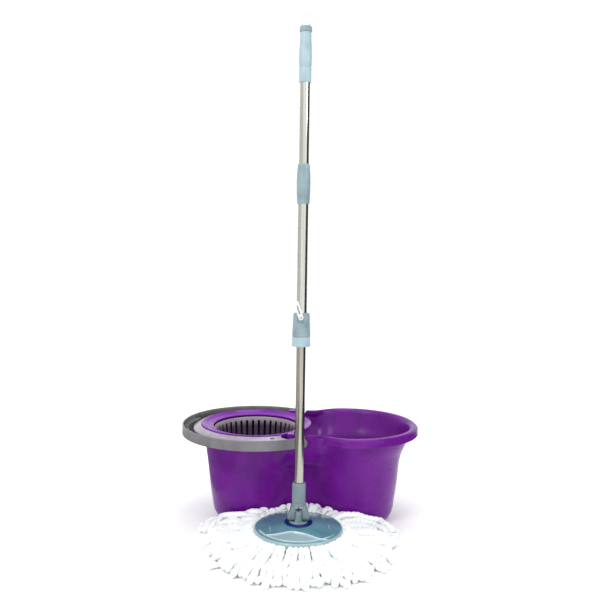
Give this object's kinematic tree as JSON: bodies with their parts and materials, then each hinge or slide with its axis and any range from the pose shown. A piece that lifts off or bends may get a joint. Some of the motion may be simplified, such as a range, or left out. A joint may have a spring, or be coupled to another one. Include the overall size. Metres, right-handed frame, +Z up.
{
  "type": "spin mop with bucket",
  "caption": "Press-to-spin floor mop with a tilting disc head and looped yarn, standing at a two-lobed bucket with a spinning wringer basket, splash ring and folding handle.",
  "frame": {"origin": "middle of the bucket's base, at the waist between its lobes", "axes": "+Z up along the pole, +X from the basket lobe to the water lobe, the mop stands at -Y in front of the waist"},
  "size_m": [0.4777, 0.491, 0.9549],
  "materials": {
    "purple_plastic": "moulded, glossy purple",
    "purple_gloss": "moulded, high gloss purple",
    "handle_plastic": "moulded warm grey, semi-gloss",
    "basket_plastic": "moulded dark lavender grey",
    "pin_steel": "drawn steel",
    "bush_plastic": "natural acetal",
    "disc_plastic": "moulded grey blue, glossy",
    "white_plastic": "moulded white",
    "yarn": "twisted microfibre loops, white",
    "deep_blue_plastic": "moulded deep blue",
    "grey_blue_plastic": "moulded grey blue, satin",
    "pale_blue_plastic": "moulded pale steel blue, satin",
    "steel_tube": "polished stainless tube"
  },
  "bodies": {
    "bucket": {"bucket_tub": "purple_plastic", "rim_clip_front": "purple_gloss", "rim_clip_back": "purple_gloss", "pivot_pin_front": "handle_plastic", "pivot_pin_back": "handle_plastic", "spinner_ring": "purple_gloss", "basket_axle": "pin_steel", "thrust_washer": "bush_plastic", "axle_clip": "pin_steel"},
    "wringer": {"basket": "basket_plastic", "basket_bush": "bush_plastic", "hub_cap": "basket_plastic"},
    "handle": {"carry_handle": "handle_plastic"},
    "mop_head": {"disc_cover": "disc_plastic", "base_plate": "disc_plastic", "refill_ring": "white_plastic", "yarn_skirt": "yarn", "swivel_ring": "deep_blue_plastic", "swivel_bolt": "pin_steel"},
    "swivel": {"swivel_yoke": "grey_blue_plastic", "tilt_pin": "pin_steel"},
    "lower_pole": {"socket_fork": "grey_blue_plastic", "inner_tube": "steel_tube", "nut_housing": "bush_plastic", "nut_cap": "bush_plastic"},
    "clutch": {"clutch_nut": "bush_plastic"},
    "upper_pole": {"lower_outer_tube": "steel_tube", "twist_rod": "pin_steel", "rod_anchor": "bush_plastic", "lock_collar": "grey_blue_plastic", "collar_ring": "pale_blue_plastic", "tube_bush": "bush_plastic", "lever_pin": "pin_steel", "mid_coupler": "grey_blue_plastic", "upper_outer_tube": "steel_tube", "grip_sleeve": "pale_blue_plastic", "grip_cap": "grey_blue_plastic"},
    "lever": {"lock_lever": "white_plastic"},
    "loop": {"hanging_loop": "white_plastic"}
  },
  "joints": [
    {"name": "basket_spin", "type": "hinge", "parent": "bucket", "child": "wringer", "pos_m": [-0.095, 0, 0.095], "axis": [0, 0, 1], "continuous": true},
    {"name": "handle_fold", "type": "hinge", "parent": "bucket", "child": "handle", "pos_m": [-0.001, 0, 0.176], "axis": [0, 1, 0], "range_deg": [0, 95]},
    {"name": "mop_lift", "type": "slide", "parent": "bucket", "child": "mop_head", "axis": [0, -0.7071, 0.7071], "range_m": [0, 0.35]},
    {"name": "head_swivel", "type": "hinge", "parent": "mop_head", "child": "swivel", "pos_m": [-0.007, -0.165, 0.0485], "axis": [0, 0, 1], "continuous": true},
    {"name": "pole_tilt", "type": "hinge", "parent": "swivel", "child": "lower_pole", "pos_m": [-0.007, -0.165, 0.062], "axis": [-1, 0, 0], "range_deg": [-80, 0]},
    {"name": "pole_slide", "type": "slide", "parent": "lower_pole", "child": "upper_pole", "axis": [0, 0, 1], "range_m": [-0.2, 0]},
    {"name": "nut_spin", "type": "hinge", "parent": "lower_pole", "child": "clutch", "pos_m": [-0.007, -0.165, 0.406], "axis": [0, 0, 1], "range_deg": [-10, 910]},
    {"name": "lever_flip", "type": "hinge", "parent": "upper_pole", "child": "lever", "pos_m": [-0.008, -0.179, 0.4205], "axis": [0, 1, 0], "range_deg": [0, 38]},
    {"name": "loop_swivel", "type": "hinge", "parent": "upper_pole", "child": "loop", "pos_m": [-0.007, -0.165, 0.927], "axis": [0, 0, 1], "continuous": true}
  ],
  "couplings": [
    {"joint": "nut_spin", "follows": "pole_slide", "rad_per_m": -78.54}
  ]
}
